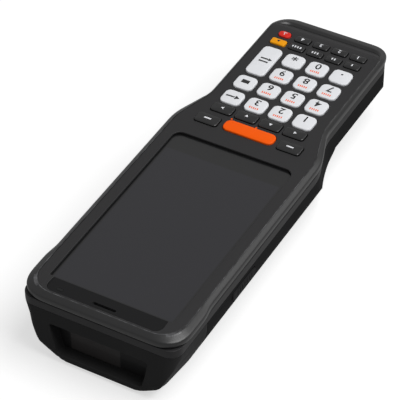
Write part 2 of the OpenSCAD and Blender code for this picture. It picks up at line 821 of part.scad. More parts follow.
module rear_housing() {
    color("#262628") difference() {
        union() {
            difference() {
                rear_form();
                rear_form(wall);
            }
            intersection() {
                rear_form();
                union() {
                    bay(pack_gap + bay_wall);
                    latch_guide();
                    at_screws() cylinder(r = boss_r, h = z_split);
                    both_sides() button_board_ribs();
                    strap_boss(y_strap_head, 0);
                    strap_boss(y_strap_handle, z_handle);
                    connector_shelf();
                }
            }
        }
        bay(pack_gap);
        latch_room();
        at_screws() screw_bore();
        both_sides() side_button_slot();
        strap_hole(y_strap_head, 0);
        strap_hole(y_strap_handle, z_handle);
        seal_ring(thread_gap);
        connector_hole();
        contact_slot();
        block([-body_l, y_cap, -past], [body_l, body_l, z_frame]);
    }
}

// ---- Head cap ----

mouth_top_r = 1.5;
mouth_low_r = 2.5;
window_ledge = 1.3;

function mouth_outline(grow = 0) = rounded(mirrored([
    [mouth_w / 2 + grow, mouth_z + mouth_h + grow, mouth_top_r + grow],
    [mouth_low_w / 2 + grow, mouth_z - grow, mouth_low_r + grow]
]));

module head_cap() {
    color("#242426") difference() {
        union() {
            difference() {
                rear_form();
                rear_form(wall);
            }
            intersection() {
                rear_form();
                union() {
                    along(mouth_outline(wall), y_window_0 - window_wall, y_face);
                    at_screws() cylinder(r = boss_r, h = z_split);
                }
            }
        }
        along(mouth_outline(), y_window_0 - fit_gap, y_face + past);
        along(mouth_outline(-window_ledge), y_window_0 - window_wall - past, y_face);
        at_screws() screw_bore();
        seal_ring(thread_gap);
        block([-body_l, -body_l, -past], [body_l, y_cap, z_frame]);
    }
}

module scan_window() {
    color("#3a1418") along(mouth_outline(-fit_gap), y_window_0, y_window_1);
}

engine_w = 24;
engine_l = 10;
engine_h = 12;
engine_gap = 2.5;
lens_r = 3.6;
lens_h = 1.6;
lamp_r = 2.4;
lamp_h = 0.8;
lamp_off = 7;
bracket_t = 1.2;
bracket_side = 2;
bracket_foot = 6;
y_engine = y_window_0 - window_wall - engine_gap - engine_l;

module scan_engine() {
    color("#3c3c40") {
        centred(engine_w, engine_l, mouth_mid_z - engine_h / 2, mouth_mid_z + engine_h / 2,
            y_engine + engine_l / 2);
        for (x = [-lamp_off, 0, lamp_off])
            translate([x, y_engine + engine_l, mouth_mid_z]) rotate([-90, 0, 0])
                cylinder(r = x == 0 ? lens_r : lamp_r, h = x == 0 ? lens_h : lamp_h);
    }
}

module engine_bracket() {
    color("#9a9ca0") {
        centred(engine_w + 2 * bracket_side, bracket_t, mouth_mid_z - engine_h / 2, z_chassis,
            y_engine - bracket_t / 2);
        centred(engine_w + 2 * bracket_side, bracket_foot, z_chassis - bracket_t, z_chassis,
            y_engine - bracket_t - bracket_foot / 2);
    }
}

// ---- Display stack ----

module touch_glass() {
    color("#15151a") block([-glass_half, y_glass_0, z_panel_top], [glass_half, y_glass_1, z_glass_top]);
}

module display_gasket() {
    color("#101012") difference() {
        block([-glass_half, y_glass_0, z_glass_top], [glass_half, y_glass_1, z_lip]);
        block([-opening_w / 2 - 2 * fit_gap, y_opening_0 - 2 * fit_gap, z_glass_top - past],
            [opening_w / 2 + 2 * fit_gap, y_strip_0 + 2 * fit_gap, z_lip + past]);
    }
}

module display_module() {
    color("#55585e") block([-glass_half + panel_inset, y_glass_0 + panel_inset, z_panel],
        [glass_half - panel_inset, y_glass_1 - panel_inset, z_panel_top]);
}

module receiver_strip() {
    color("#141416") difference() {
        plan_slab(strip_outline(0), z_lip, z_lip + strip_t);
        sound_slot(z_lip - past, z_frame);
        light_hole(fit_gap, z_lip - past, z_frame);
    }
}

module status_light() {
    color("#c8d8c0") light_hole(0, z_ledge, z_lip + strip_t);
}

speaker_w = 16;
speaker_l = 6.4;
speaker_h = 3;

module loudspeaker() {
    color("#6a6c70") centred(speaker_w, speaker_l, z_ledge - speaker_h, z_ledge, y_strip_row - 0.8);
}

// ---- Keypad ----

module keycap(k) {
    color(k[6]) {
        rounded_block(k[3], k[4], k[5], z_flange, z_frame + key_proud, k[1], k[2]);
        rounded_block(k[3] + 2 * key_gap + 2 * flange_lip, k[4] + 2 * key_gap + 2 * flange_lip, k[5],
            z_flange, z_flange + flange_t, k[1], k[2]);
    }
}

// Leaves room for the screw bosses that stand beside the keypad
module boss_notches() {
    at_screws() translate([0, 0, -past]) cylinder(r = boss_r + boss_gap, h = z_frame + 2 * past);
}

// A sheet under the whole keypad, wider under the soft keys and the arrow keys
sheet_past = 1.1;
dome_r = 1.8;
board_past_mat = 1.2;
module keypad_sheet(half_w, wide_half, z0, z1) {
    y0 = y_small_2 - small_key_l / 2 - sheet_past;
    y1 = y_scan_row + scan_key_l / 2 + sheet_past / 2 - 0.3;
    difference() {
        union() {
            block([-half_w, y0, z0], [half_w, y1, z1]);
            block([-wide_half, y_arrow_row - arrow_key_l / 2, z0], [wide_half, y1, z1]);
        }
        boss_notches();
    }
}

module keypad_mat() {
    color("#2e2e30") {
        keypad_sheet(handle_half - rib_in - fit_gap, soft_x + soft_key_w / 2, z_board_top, z_mat_top);
        for (k = KEYS) translate([k[1], k[2], z_mat_top - eps]) cylinder(r = dome_r, h = dome_h);
    }
}

module keypad_board() {
    color("#1f5c3a") keypad_sheet(handle_half - rib_in + board_past_mat, soft_x + soft_key_w / 2,
        z_key_board, z_board_top);
}

// ---- Inside the head ----

chassis_in = 0.5;
chassis_tab = 6;
chassis_tab_off = 4;
y_tab = y_opening_0 + chassis_tab_off;
chassis_tab_l = 88;

module chassis_frame() {
    color("#8b8f94") {
        block([-pocket_half + chassis_in, pocket_y0 + chassis_in, z_chassis],
            [pocket_half - chassis_in, y_glass_1 - 2 * fit_gap - lip_overlap, z_ledge]);
        both_sides() for (y = [y_tab, y_tab + chassis_tab_l])
            block([pocket_half - 2 * chassis_in, y - chassis_tab / 2, z_chassis],
                [x_front_inner - fit_gap, y + chassis_tab / 2, z_ledge]);
        both_sides() for (y = [y_standoff, y_standoff + standoff_l])
            translate([main_half - standoff_in, y, z_main_top])
            cylinder(r = standoff_r, h = standoff_h + eps);
    }
}

module main_board() {
    color("#1d6b3f") {
        block([-main_half, y_main_0, z_main], [main_half, y_main_0 + main_l, z_main_top]);
        for (c = cans) centred(c[0], c[1], z_main - can_h, z_main + eps, y_main_0 + c[3], c[2]);
        centred(display_plug[0], display_plug[1], z_main_top - eps, z_main_top + connector_block_h,
            y_main_0 + display_plug[3], display_plug[2]);
    }
}

module battery_contacts() {
    color("#c9a24a") centred(contact_w, contact_l, pack_t, z_main, y_contacts);
}

module contact_slot() {
    centred(contact_w + 2 * contact_gap, contact_l + 2 * contact_gap, pack_t, z_main, y_contacts);
}

module housing_seal() {
    color("#0c0c0d") seal_ring();
}

motor_r = 5;
motor_h = 3;
motor_x = -10;

module vibration_motor() {
    color("#a8abb0") translate([motor_x, y_row_4, z_handle + wall]) cylinder(r = motor_r, h = motor_h);
}

// The connector sits on a shelf above the handle's floor, in the middle of the keypad end
shelf_h = 4.1;
z_connector = z_handle + wall + shelf_h;
connector_w = 9.2;
connector_h = 3.4;
connector_l = 8;
connector_t = 0.5;
connector_ear = 2;
connector_ear_l = 4;
y_ear = y_key_face + wall + 2.6;

module connector_shape(grow, y0, y1) {
    translate([0, y1, z_connector + connector_h / 2]) rotate([90, 0, 0]) linear_extrude(y1 - y0)
        round_rect(connector_w + 2 * grow, connector_h + 2 * grow, connector_h / 2 + grow - eps);
}

module connector_shelf() {
    block([-connector_w / 2 - connector_ear, y_key_face + wall / 2, z_handle],
        [connector_w / 2 + connector_ear, y_ear + connector_ear_l, z_connector]);
}

module connector_hole() {
    connector_shape(fit_gap, y_key_face - past, y_key_face + wall + past);
}

module io_connector() {
    color("#b9bcc2") difference() {
        union() {
            connector_shape(0, y_key_face + connector_t, y_key_face + connector_l);
            centred(connector_w + 2 * connector_ear, connector_ear_l, z_connector, z_connector + connector_h,
                y_ear + connector_ear_l / 2);
        }
        connector_shape(-connector_t, y_key_face, y_key_face + connector_l - 3 * connector_t);
    }
}

// ---- Battery pack and latch ----

module battery_pack() {
    color("#303033") difference() {
        intersection() {
            along(head_section(), y_pack_0, y_pack_1);
            bay(0);
        }
        block([-latch_w / 4 - 3 * fit_gap, y_pack_0 - past, wall - 2 * fit_gap],
            [latch_w / 4 + 3 * fit_gap, y_pack_0 + latch_bite + 3 * fit_gap,
                wall + latch_plate_t + 3 * fit_gap]);
    }
}

module battery_latch() {
    color("#3f4043") {
        centred(latch_w, latch_l, latch_sunk, wall + fit_gap + eps, (y_latch_0 + y_latch_1) / 2);
        block([-latch_w / 2 - latch_side, y_latch_0 - latch_past, wall + fit_gap],
            [latch_w / 2 + latch_side, y_latch_1 + latch_past, wall + fit_gap + latch_plate_t]);
        block([-latch_w / 4, y_latch_1, wall + fit_gap],
            [latch_w / 4, y_pack_0 + latch_bite, wall + fit_gap + latch_plate_t]);
    }
}

// ---- Side scan buttons ----

module side_button() {
    translate([0, y_opening_0 + side_button_y, side_button_z]) rotate([90, 0, 90]) {
        translate([0, 0, x_button]) linear_extrude(x_side + side_button_out - x_button)
            round_rect(side_button_l, side_button_h, side_button_h / 2 - eps);
        translate([0, 0, x_button]) linear_extrude(button_flange_t)
            round_rect(side_button_l + 2 * button_lip_l, side_button_h + 2 * button_lip_h, side_button_h / 2);
    }
}

module left_scan_button() {
    color("#2f3032") mirror([1, 0, 0]) side_button();
}

module right_scan_button() {
    color("#2f3032") side_button();
}

module button_boards() {
    y = y_opening_0 + side_button_y;
    color("#1f5c3a") both_sides()
        block([x_button_board, y - button_board_l / 2, side_button_z - button_board_h / 2],
            [x_button_board + button_board_t, y + button_board_l / 2, side_button_z + button_board_h / 2]);
}

// ---- Fasteners ----

module housing_screws() {
    color("#b0b2b6") at_screws() {
        translate([0, 0, z_screw_seat - screw_head_h]) cylinder(r = screw_head_r, h = screw_head_h);
        translate([0, 0, z_screw_seat - eps]) cylinder(r = screw_r, h = screw_l);
    }
}

module strap_insert(y, z) {
    translate([0, y, z]) difference() {
        cylinder(r = insert_r, h = insert_l);
        translate([0, 0, -past]) cylinder(r = insert_hole_r, h = insert_l + 2 * past);
    }
}

module strap_inserts() {
    color("#c8a65a") {
        strap_insert(y_strap_head, insert_sunk);
        strap_insert(y_strap_handle, z_handle + insert_sunk);
    }
}

// ---- Nodes ----

for (k = KEYS) keycap(k);
front_housing();
bumper_band();
rear_housing();
head_cap();
touch_glass();
display_module();
display_gasket();
receiver_strip();
status_light();
keypad_mat();
keypad_board();
chassis_frame();
main_board();
housing_seal();
scan_window();
scan_engine();
engine_bracket();
battery_pack();
battery_latch();
left_scan_button();
right_scan_button();
button_boards();
loudspeaker();
vibration_motor();
io_connector();
battery_contacts();
housing_screws();
strap_inserts();
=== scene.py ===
# %% [markdown]
# # A portable barcode data terminal
#
# The terminal is a slim handheld computer: a touch display fills the deep head, keys fill
# the handle, and a barcode reader looks out of the head's end. Its solids come from a packed
# CAD model. This file gives them their looks: rounded edges, pillow-shaped keys with printed
# signs, ribbed grips, and a finish for every plastic, rubber, glass and metal part.
#
# Lengths in Blender are metres here, as in the CAD frame. MM turns millimetres into them.

# %% Load the frame
import json
import math

import bmesh
import bpy
from mathutils import Matrix, Vector
from mathutils.bvhtree import BVHTree


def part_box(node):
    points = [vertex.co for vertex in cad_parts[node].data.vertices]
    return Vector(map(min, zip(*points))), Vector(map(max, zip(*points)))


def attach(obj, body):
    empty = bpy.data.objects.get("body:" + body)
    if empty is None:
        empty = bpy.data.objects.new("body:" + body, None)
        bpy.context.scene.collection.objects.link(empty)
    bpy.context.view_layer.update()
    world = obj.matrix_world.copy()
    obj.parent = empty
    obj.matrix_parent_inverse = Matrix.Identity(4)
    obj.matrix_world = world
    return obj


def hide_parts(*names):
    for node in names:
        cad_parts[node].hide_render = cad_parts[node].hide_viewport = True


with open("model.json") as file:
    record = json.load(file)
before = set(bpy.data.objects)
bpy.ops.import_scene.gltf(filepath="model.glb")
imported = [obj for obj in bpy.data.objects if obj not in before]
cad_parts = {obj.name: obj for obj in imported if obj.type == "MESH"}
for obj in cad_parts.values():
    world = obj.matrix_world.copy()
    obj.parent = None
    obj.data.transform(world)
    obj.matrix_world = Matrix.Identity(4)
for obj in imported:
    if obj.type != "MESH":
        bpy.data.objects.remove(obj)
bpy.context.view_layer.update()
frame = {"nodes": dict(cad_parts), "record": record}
nodes = frame["nodes"]
groups = frame["record"]["behaviour"]["bodies"]
bodies_of = {node: body for body, names in groups.items() for node in names}
slot_of = {part["node"]: part["material_slot"] for part in frame["record"]["subparts"]}
scene = bpy.context.scene
MM = 0.001
print("CAD nodes:", len(nodes))

# %% [markdown]
# ## Camera
#
# A long lens from well above the reader's end shows both the display and the reader. The
# camera's place follows from the point that it looks at, its distance, and its angles round
# and above the terminal. That is easier to adjust than three coordinates and three turns.

# %% Camera
AIM = Vector((-2.6, 27.46, 36.6)) * MM
CAMERA_DISTANCE = 0.9257
CAMERA_AZIMUTH = math.radians(150.79)
CAMERA_ELEVATION = math.radians(41.67)
CAMERA_ROLL = math.radians(-0.22)
LENS = 196.15
NEAREST_SEEN = 0.01

looking = Vector((
    math.sin(CAMERA_AZIMUTH) * math.cos(CAMERA_ELEVATION),
    math.cos(CAMERA_AZIMUTH) * math.cos(CAMERA_ELEVATION),
    -math.sin(CAMERA_ELEVATION),
))
camera_data = bpy.data.cameras.new("camera")
camera_data.lens = LENS
camera_data.clip_start = NEAREST_SEEN
camera = bpy.data.objects.new("camera", camera_data)
camera.location = AIM - looking * CAMERA_DISTANCE
facing = looking.to_track_quat("-Z", "Y").to_matrix()
camera.rotation_euler = (facing @ Matrix.Rotation(CAMERA_ROLL, 3, "Z")).to_euler()
scene.collection.objects.link(camera)
scene.camera = camera
scene.view_settings.view_transform = "Standard"
print("camera at", [round(c, 3) for c in camera.location], "with a lens of", LENS, "mm")

# %% [markdown]
# ## Light and backdrop
#
# One large soft lamp hangs nearly overhead, a little towards the side that the camera sees.
# A weak one behind it shines along the bumper, so the end of the head falls into shade. The
# floor is a plain pale sheet. It looks white to the camera, but bounces less light than it
# seems to, as a sheet that lies further away would.

# %% Lamps
LAMPS = {
    # name: its place, the side of its square in metres, its power in watts
    "top_lamp": ((-0.55, -0.05, 1.1), 0.9, 11.5),
    "side_lamp": ((-0.6, -0.8, 0.75), 0.5, 1.0),
}
for name, (place, size, power) in LAMPS.items():
    lamp_data = bpy.data.lights.new(name, "AREA")
    lamp_data.shape = "SQUARE"
    lamp_data.size = size
    lamp_data.energy = power
    lamp = bpy.data.objects.new(name, lamp_data)
    lamp.location = place
    lamp.rotation_euler = (-Vector(place)).to_track_quat("-Z", "Y").to_euler()
    scene.collection.objects.link(lamp)
    print(name, power, "W")


# %% A level that is white only to the camera
def camera_white(tree, soft, gloss, white):
    """Grey levels for lighting rays, for gloss and glass, and for what the camera sees directly"""
    path = tree.nodes.new("ShaderNodeLightPath")
    value = (soft, soft, soft, 1)
    reflected = ("Is Glossy Ray", "Is Transmission Ray")
    for rays, level in ((reflected, gloss), (("Is Camera Ray",), white)):
        either = tree.nodes.new("ShaderNodeMath")
        either.operation = "MAXIMUM"
        either.inputs[1].default_value = 0
        for i, ray in enumerate(rays):
            tree.links.new(path.outputs[ray], either.inputs[i])
        mix = tree.nodes.new("ShaderNodeMix")
        mix.data_type = "RGBA"
        mix.inputs["B"].default_value = (level, level, level, 1)
        if isinstance(value, tuple):
            mix.inputs["A"].default_value = value
        else:
            tree.links.new(value, mix.inputs["A"])
        tree.links.new(either.outputs[0], mix.inputs["Factor"])
        value = mix.outputs["Result"]
    return value


# %% World
SKY = {"soft": 0.25, "gloss": 0.42, "white": 1.0}

world = bpy.data.worlds.new("studio")
world.use_nodes = True
scene.world = world
sky = world.node_tree
sky.links.new(camera_white(sky, **SKY), sky.nodes["Background"].inputs["Color"])
print("world lights with", SKY["soft"])

# %% Floor
FLOOR_SIDE, FLOOR_HEIGHT = 30, -0.3 * MM
PAPER_COLOUR = {"soft": 0.25, "gloss": 0.3, "white": 0.55}
PAPER_GLOW = {"soft": 0.0, "gloss": 0.2, "white": 0.6}
PAPER_ROUGH, PAPER_SPECULAR = 0.9, 0.1

bpy.ops.mesh.primitive_plane_add(size=FLOOR_SIDE, location=(0, 0, FLOOR_HEIGHT))
floor = bpy.context.object
floor.name = "floor"
paper = bpy.data.materials.new("paper")
paper.use_nodes = True
paper_tree = paper.node_tree
sheet = paper_tree.nodes["Principled BSDF"].inputs
sheet["Roughness"].default_value = PAPER_ROUGH
sheet["Specular IOR Level"].default_value = PAPER_SPECULAR
sheet["Emission Strength"].default_value = 1.0
paper_tree.links.new(camera_white(paper_tree, **PAPER_COLOUR), sheet["Base Color"])
paper_tree.links.new(camera_white(paper_tree, **PAPER_GLOW), sheet["Emission Color"])
floor.data.materials.append(paper)
print("floor", FLOOR_SIDE, "m wide")

# %% [markdown]
# ## Surface effects
#
# Moulded plastic is never one flat grey. The mould has a fine spark-eroded grain, hands
# leave the surface a little glossier in places, and the colour varies slightly where the
# plastic flowed. Three shader node groups hold these effects. They are built once, so each
# finish only states its own values, and a small class keeps the building short.


# %% A helper for node groups
class Group:
    """A shader node group with named sockets, and short calls to place and join its nodes"""

    def __init__(self, name, inputs, outputs):
        self.tree = bpy.data.node_groups.new(name, "ShaderNodeTree")
        interface = self.tree.interface
        for label, kind, value in inputs:
            socket = interface.new_socket(label, in_out="INPUT", socket_type=kind)
            socket.default_value = value
        for label, kind in outputs:
            interface.new_socket(label, in_out="OUTPUT", socket_type=kind)
        self.given = self.tree.nodes.new("NodeGroupInput").outputs
        self.result = self.tree.nodes.new("NodeGroupOutput").inputs

    def node(self, kind, **settings):
        made = self.tree.nodes.new("ShaderNode" + kind)
        for name, value in settings.items():
            setattr(made, name, value)
        return made

    def join(self, source, target):
        if isinstance(source, (int, float, tuple)):
            target.default_value = source
        else:
            self.tree.links.new(source, target)

    def math(self, operation, *values):
        made = self.node("Math", operation=operation)
        for i, value in enumerate(values):
            self.join(value, made.inputs[i])
        return made.outputs[0]

    def vector(self, operation, *values):
        made = self.node("VectorMath", operation=operation)
        for i, value in enumerate(values):
            self.join(value, made.inputs[i])
        return made.outputs[0]

    def noise(self, scale, detail, vector, stretch=(1, 1, 1)):
        mapping = self.node("Mapping")
        self.join(stretch, mapping.inputs["Scale"])
        self.join(vector, mapping.inputs["Vector"])
        made = self.node("TexNoise")
        self.join(mapping.outputs[0], made.inputs["Vector"])
        self.join(scale, made.inputs["Scale"])
        self.join(detail, made.inputs["Detail"])
        return made.outputs["Fac"]

    def blend(self, factor, first, second, mode="MIX"):
        made = self.node("Mix", data_type="RGBA", blend_type=mode)
        self.join(factor, made.inputs["Factor"])
        self.join(first, made.inputs["A"])
        self.join(second, made.inputs["B"])
        return made.outputs["Result"]

    def ramp(self, value, low, high):
        made = self.node("MapRange", clamp=True)
        self.join(value, made.inputs["Value"])
        self.join(low, made.inputs["From Min"])
        self.join(high, made.inputs["From Max"])
        return made.outputs["Result"]


FLOAT = "NodeSocketFloat"
COLOUR = "NodeSocketColor"
VECTOR = "NodeSocketVector"
DARK_GREY = (0.05, 0.05, 0.05, 1)

# %% Mould grain
GRAIN_HEIGHT = 0.04 * MM
PIT_SHARE = 0.5


def make_grain():
    """The fine grain of a mould, as a bumped normal"""
    g = Group("grain", [("Scale", FLOAT, 2600.0), ("Depth", FLOAT, 0.25)], [("Normal", VECTOR)])
    place = g.node("TexCoord").outputs["Object"]
    fine = g.noise(g.given["Scale"], 3.0, place)
    pits = g.node("TexVoronoi", feature="F1")
    g.join(place, pits.inputs["Vector"])
    g.join(g.given["Scale"], pits.inputs["Scale"])
    height = g.math("ADD", fine, g.math("MULTIPLY", pits.outputs["Distance"], PIT_SHARE))
    bump = g.node("Bump")
    g.join(GRAIN_HEIGHT, bump.inputs["Distance"])
    g.join(g.given["Depth"], bump.inputs["Strength"])
    g.join(height, bump.inputs["Height"])
    g.join(bump.outputs["Normal"], g.result["Normal"])
    return g.tree


GRAIN = make_grain()
print(GRAIN.name, len(GRAIN.nodes), "nodes")

# %% Flow and handling
CLOUD_SCALE, FLOW_SCALE = 38.0, 90.0
FLOW_STRETCH, FLOW_SHARE = (1, 0.25, 1), 0.6
CLOUDS_MEAN = 0.8


def make_handled():
    """Cloudy changes of colour and gloss, where the plastic flowed and where hands rub it"""
    g = Group(
        "handled",
        [("Color", COLOUR, DARK_GREY), ("Roughness", FLOAT, 0.6), ("Amount", FLOAT, 0.1)],
        [("Color", COLOUR), ("Roughness", FLOAT)],
    )
    place = g.node("TexCoord").outputs["Object"]
    cloud = g.noise(CLOUD_SCALE, 4.0, place)
    flow = g.noise(FLOW_SCALE, 2.0, place, FLOW_STRETCH)
    both = g.math("ADD", cloud, g.math("MULTIPLY", flow, FLOW_SHARE))
    change = g.math("MULTIPLY", g.math("SUBTRACT", both, CLOUDS_MEAN), g.given["Amount"])
    tint = g.node("CombineColor")
    level = g.math("ADD", 1.0, change)
    for channel in ("Red", "Green", "Blue"):
        g.join(level, tint.inputs[channel])
    tinted = g.blend(1.0, g.given["Color"], tint.outputs[0], "MULTIPLY")
    g.join(tinted, g.result["Color"])
    g.join(g.math("SUBTRACT", g.given["Roughness"], change), g.result["Roughness"])
    return g.tree


HANDLED = make_handled()
print(HANDLED.name, len(HANDLED.nodes), "nodes")

# %% Polished edges, and the painted highlight on the bumper's rim
# Lighter grey for polished edges, and for the painted highlight on the bumper's top ring
POLISH_AND_HIGHLIGHT_GREY = (0.22, 0.22, 0.23, 1)
PATCH_SCALE, PATCH_LOW, PATCH_HIGH = 260.0, 0.35, 0.7
POLISH_GAIN = 0.5


def make_edges():
    """Rounded edges that hands have polished, read from the mark that rounding leaves on them; the
    same mark on the bumper's top ring gives it a painted highlight
    """
    g = Group(
        "polished edges and rim highlight",
        [("Color", COLOUR, DARK_GREY), ("Roughness", FLOAT, 0.6), ("Amount", FLOAT, 0.3)],
        [("Color", COLOUR), ("Roughness", FLOAT)],
    )
    mark = g.node("Attribute", attribute_name="rounded_edge_and_rim_highlight")
    place = g.node("TexCoord").outputs["Object"]
    patchy = g.ramp(g.noise(PATCH_SCALE, 3.0, place), PATCH_LOW, PATCH_HIGH)
    # on the bumper's marked top ring this blend is a painted highlight, not wear
    worn_and_highlit = g.math("MULTIPLY", g.math("MULTIPLY", mark.outputs["Fac"], patchy), g.given["Amount"])
    g.join(g.blend(worn_and_highlit, g.given["Color"], POLISH_AND_HIGHLIGHT_GREY), g.result["Color"])
    smoother = g.math("SUBTRACT", g.given["Roughness"], g.math("MULTIPLY", worn_and_highlit, POLISH_GAIN))
    g.join(smoother, g.result["Roughness"])
    return g.tree


EDGES = make_edges()
print(EDGES.name, len(EDGES.nodes), "nodes")

# %% [markdown]
# ## What each part is made of
#
# The front housing, the bumper, the rear housing and the end cap are all nearly black, and
# only their gloss tells them apart: the rubber shines a little, and the back is dull. So
# each finish has its own colour, roughness and grain. The white, orange, amber and red keys
# are coloured all through, so their edges don't wear to another colour.


# %% Moulded parts and metal
def placed(material, group, **values):
    """Adds a node group to a material, and sets the sockets that are named"""
    made = material.node_tree.nodes.new("ShaderNodeGroup")
    made.node_tree = group
    for name, value in values.items():
        made.inputs[name].default_value = value
    return made


def moulded(
    name, colour, roughness, grain=2600.0, depth=0.25, cloud=0.1, edge_wear_and_highlight=0.2, specular=0.5, coat=0.0,
    metallic=0.0,
):
    """A moulded plastic, a rubber or a metal: cloudy colour, polished edges and a fine grain"""
    material = bpy.data.materials.new(name)
    material.use_nodes = True
    links = material.node_tree.links
    shader = material.node_tree.nodes["Principled BSDF"].inputs
    shader["Specular IOR Level"].default_value = specular
    shader["Coat Weight"].default_value = coat
    shader["Metallic"].default_value = metallic
    handled = placed(
        material, HANDLED, Color=(*colour, 1), Roughness=roughness, Amount=cloud,
    ).outputs
    edges = placed(material, EDGES, Amount=edge_wear_and_highlight)
    grainy = placed(material, GRAIN, Scale=grain, Depth=depth)
    for effect in ("Color", "Roughness"):
        links.new(handled[effect], edges.inputs[effect])
    links.new(edges.outputs["Color"], shader["Base Color"])
    links.new(edges.outputs["Roughness"], shader["Roughness"])
    links.new(grainy.outputs["Normal"], shader["Normal"])
    return material


# %% The finishes
KEY = {"depth": 0.06, "cloud": 0.05, "edge_wear_and_highlight": 0.0}
METAL = {"grain": 4000.0, "depth": 0.1, "cloud": 0.15, "edge_wear_and_highlight": 0.3, "metallic": 1.0}
RUBBER = {"grain": 1800.0}

MOULDED = {
    # slot: colour, roughness, and what differs from a plain plastic
    "front_plastic": ((0.023, 0.0225, 0.0235), 0.5, {"depth": 0.3, "specular": 0.3}),
    # the bumper's large edge amount paints its thin top ring a lighter grey: a painted highlight
    # along the rim
    "bumper_rubber": (
        (0.013, 0.013, 0.0135), 0.33, {**RUBBER, "depth": 0.2, "edge_wear_and_highlight": 0.5, "specular": 0.6},
    ),
    "rear_plastic": ((0.02, 0.02, 0.0205), 0.7, {"depth": 0.35, "specular": 0.02}),
    "cap_plastic": ((0.032, 0.032, 0.0325), 0.6, {"depth": 0.3, "specular": 0.06}),
    "display_panel": ((0.07, 0.07, 0.08), 0.4, {"cloud": 0.05}),
    "seal_rubber": ((0.006, 0.006, 0.006), 0.7, {"grain": 1500.0}),
    "strip_plastic": (
        (0.012, 0.012, 0.0125), 0.4, {"depth": 0.05, "specular": 0.12, "edge_wear_and_highlight": 0.05},
    ),
    "light_lens": ((0.01, 0.0105, 0.0105), 0.3, {"depth": 0.03, "coat": 0.1, "specular": 0.2}),
    "circuit_board": ((0.01, 0.09, 0.04), 0.3, {"depth": 0.1, "coat": 0.5}),
    "frame_metal": ((0.42, 0.43, 0.45), 0.45, METAL),
    "engine_plastic": ((0.03, 0.03, 0.035), 0.5, {}),
    "pack_plastic": ((0.02, 0.02, 0.0205), 0.6, {"depth": 0.35, "specular": 0.15}),
    "latch_plastic": ((0.055, 0.055, 0.058), 0.45, {}),
    "button_rubber": ((0.016, 0.016, 0.0165), 0.55, {**RUBBER, "specular": 0.08}),
    "device_metal": ((0.5, 0.51, 0.53), 0.35, METAL),
    "gold_contact": ((0.75, 0.5, 0.18), 0.3, METAL),
    "screw_steel": ((0.36, 0.37, 0.39), 0.38, METAL),
    "insert_brass": ((0.6, 0.42, 0.16), 0.35, METAL),
    "white_key": ((0.84, 0.85, 0.88), 0.42, {**KEY, "cloud": 0.03, "specular": 0.35}),
    "black_key": ((0.008, 0.008, 0.0085), 0.26, {"depth": 0.04, "edge_wear_and_highlight": 0.1, "specular": 0.7}),
    "orange_key": ((1.0, 0.115, 0.002), 0.42, {**KEY, "specular": 0.15}),
    "amber_key": ((0.92, 0.36, 0.004), 0.42, {**KEY, "specular": 0.2}),
    "red_key": ((0.72, 0.03, 0.02), 0.42, {**KEY, "specular": 0.2}),
}
finish = {
    slot: moulded(slot, colour, roughness, **more)
    for slot, (colour, roughness, more) in MOULDED.items()
}
print(len(finish), "moulded or metal finishes")

# %% [markdown]
# ## The two glasses
#
# The touch glass is clear, but what shows through it is not: a black printed border hides
# the wiring, and the switched-off panel inside the border is a very dark bluish grey. Both
# lie right behind the glass, so one glossy surface with a soft-edged mask is enough. The
# mask compares the Object coordinates with the panel's rectangle.

# %% A mask for a rectangle
BORDER_SOFTNESS = 0.4 * MM


def make_window_mask():
    """1 inside a rectangle that is given by its centre and half size, 0 outside"""
    g = Group(
        "window mask", [("Centre", VECTOR, (0, 0, 0)), ("Half size", VECTOR, (1, 1, 1))],
        [("Inside", FLOAT)],
    )
    place = g.node("TexCoord").outputs["Object"]
    away = g.vector("ABSOLUTE", g.vector("SUBTRACT", place, g.given["Centre"]))
    left = g.node("SeparateXYZ")
    g.join(g.vector("SUBTRACT", g.given["Half size"], away), left.inputs[0])
    least = g.math("MINIMUM", g.math("MINIMUM", *left.outputs[:2]), left.outputs[2])
    g.join(g.ramp(least, 0.0, BORDER_SOFTNESS), g.result["Inside"])
    return g.tree


WINDOW = make_window_mask()
print(WINDOW.name, len(WINDOW.nodes), "nodes")

# %% Glass with a printed border
COAT_ROUGHNESS = 0.05
GLASS_CLOUD = 0.06


def printed_glass(name, border, inside, centre, half, roughness, coat, specular=0.5):
    """A dark glass with a printed border round a rectangle"""
    material = bpy.data.materials.new(name)
    material.use_nodes = True
    tree = material.node_tree
    shader = tree.nodes["Principled BSDF"].inputs
    shader["Coat Weight"].default_value = coat
    shader["Coat Roughness"].default_value = COAT_ROUGHNESS
    shader["Specular IOR Level"].default_value = specular
    mask = placed(material, WINDOW, **{"Centre": centre, "Half size": half})
    mix = tree.nodes.new("ShaderNodeMix")
    mix.data_type = "RGBA"
    mix.inputs["A"].default_value = (*border, 1)
    mix.inputs["B"].default_value = (*inside, 1)
    handled = placed(material, HANDLED, Roughness=roughness, Amount=GLASS_CLOUD)
    tree.links.new(mask.outputs["Inside"], mix.inputs["Factor"])
    tree.links.new(mix.outputs["Result"], handled.inputs["Color"])
    tree.links.new(handled.outputs["Color"], shader["Base Color"])
    tree.links.new(handled.outputs["Roughness"], shader["Roughness"])
    return material


# %% Touch glass and reader glass
BEYOND = 1  # a metre: the mask has no end in this direction
ACTIVE_CENTRE = (0, 49.3 * MM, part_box("touch_glass")[1].z)
ACTIVE_HALF = (28.1 * MM, 46.8 * MM, BEYOND)
finish["screen_glass"] = printed_glass(
    "screen_glass", (0.006, 0.006, 0.0065), (0.011, 0.0108, 0.0145), ACTIVE_CENTRE, ACTIVE_HALF,
    roughness=0.3, coat=0.5,
)

window_low, window_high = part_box("scan_window")
PORT_CENTRE = (4.6 * MM, window_high.y, (window_low.z + window_high.z) / 2)
PORT_HALF = (12 * MM, BEYOND, 7 * MM)
